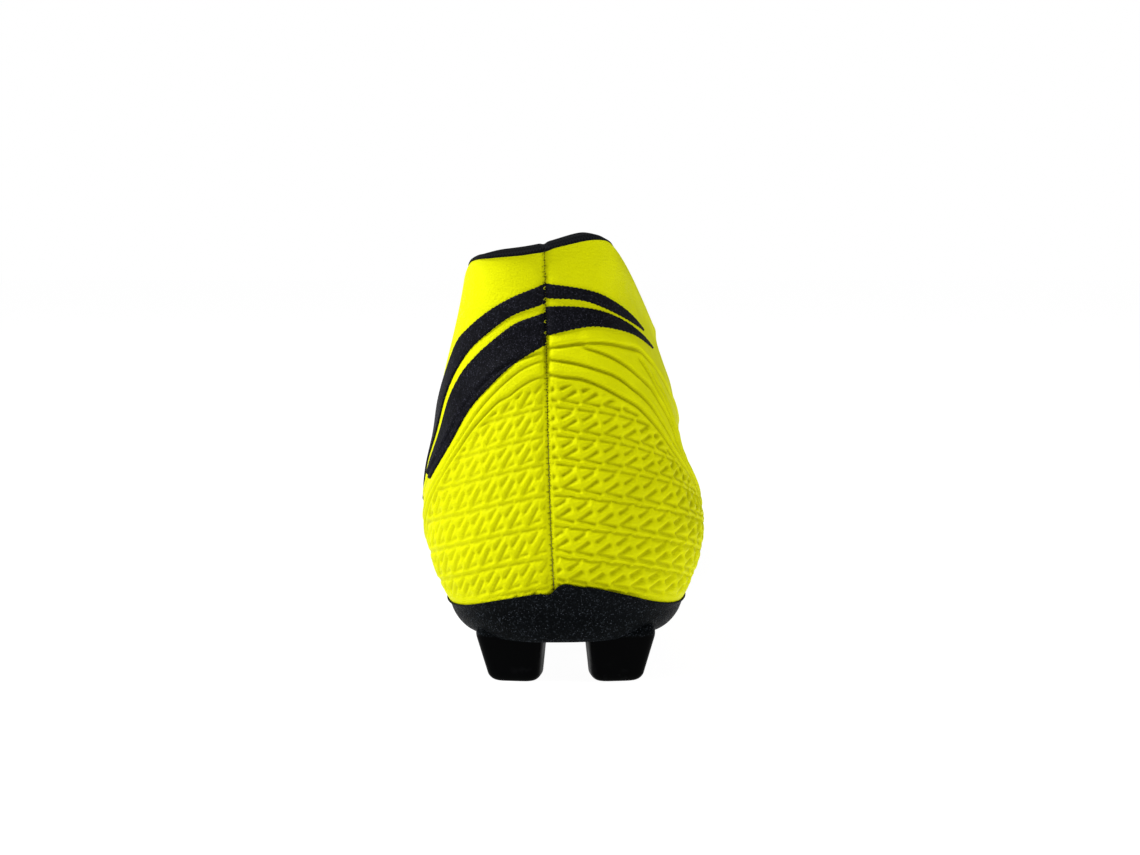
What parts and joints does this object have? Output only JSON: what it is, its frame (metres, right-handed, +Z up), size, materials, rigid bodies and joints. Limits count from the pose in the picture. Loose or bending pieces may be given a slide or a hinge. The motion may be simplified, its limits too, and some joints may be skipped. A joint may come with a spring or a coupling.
{
  "type": "soccer cleat",
  "caption": "Left football boot for firm ground: mid-height grooved synthetic upper, curved dark heel bands, stitched heel seam, laceless throat, moulded plate with bladed studs.",
  "frame": {"origin": "middle of the bounding box in plan, at the ground under the stud tips", "axes": "+X to the wearer's inner (medial) side of this left boot, +Y from heel to toe, +Z up"},
  "size_m": [0.0902, 0.2782, 0.1124],
  "materials": {
    "upper": "satin coated synthetic, fluorescent yellow",
    "overlay": "matte charcoal tape",
    "binding": "matte dark grey knit binding",
    "lining": "matte brushed lining",
    "foam": "open-cell foam",
    "stiffener": "matte moulded sheet",
    "board": "stitched fibre board",
    "sockliner": "matte knit top cloth on foam",
    "elastic": "matte ribbed elastic knit",
    "thread": "twisted polyester thread",
    "plate": "speckled satin black moulded plastic",
    "stud": "smooth glossy black moulded plastic"
  },
  "bodies": {
    "boot": {"outsole_plate": "plate", "stud_heel_rear_lateral": "stud", "stud_heel_rear_medial": "stud", "stud_heel_front_lateral": "stud", "stud_heel_front_medial": "stud", "stud_waist_lateral": "stud", "stud_waist_medial": "stud", "stud_ball_lateral": "stud", "stud_ball_medial": "stud", "stud_tread_lateral": "stud", "stud_tread_medial": "stud", "stud_toe_lateral": "stud", "stud_toe_medial": "stud", "lasting_board": "board", "sockliner": "sockliner", "heel_counter": "stiffener", "toe_puff": "stiffener", "quarter_lateral": "upper", "quarter_medial": "upper", "vamp": "upper", "heel_band_upper_lateral": "overlay", "heel_band_lower_lateral": "overlay", "heel_band_upper_medial": "overlay", "heel_band_lower_medial": "overlay", "heel_seam_thread": "thread", "collar_foam": "foam", "collar_lining": "lining", "collar_binding": "binding", "throat_elastic": "elastic", "throat_trim": "overlay"},
    "tongue": {"tongue_tab": "elastic"}
  },
  "joints": [
    {"name": "tongue_fold", "type": "hinge", "parent": "boot", "child": "tongue", "pos_m": [0.001, -0.0186, 0.0917], "axis": [-1, 0, 0], "range_deg": [0, 40]}
  ]
}
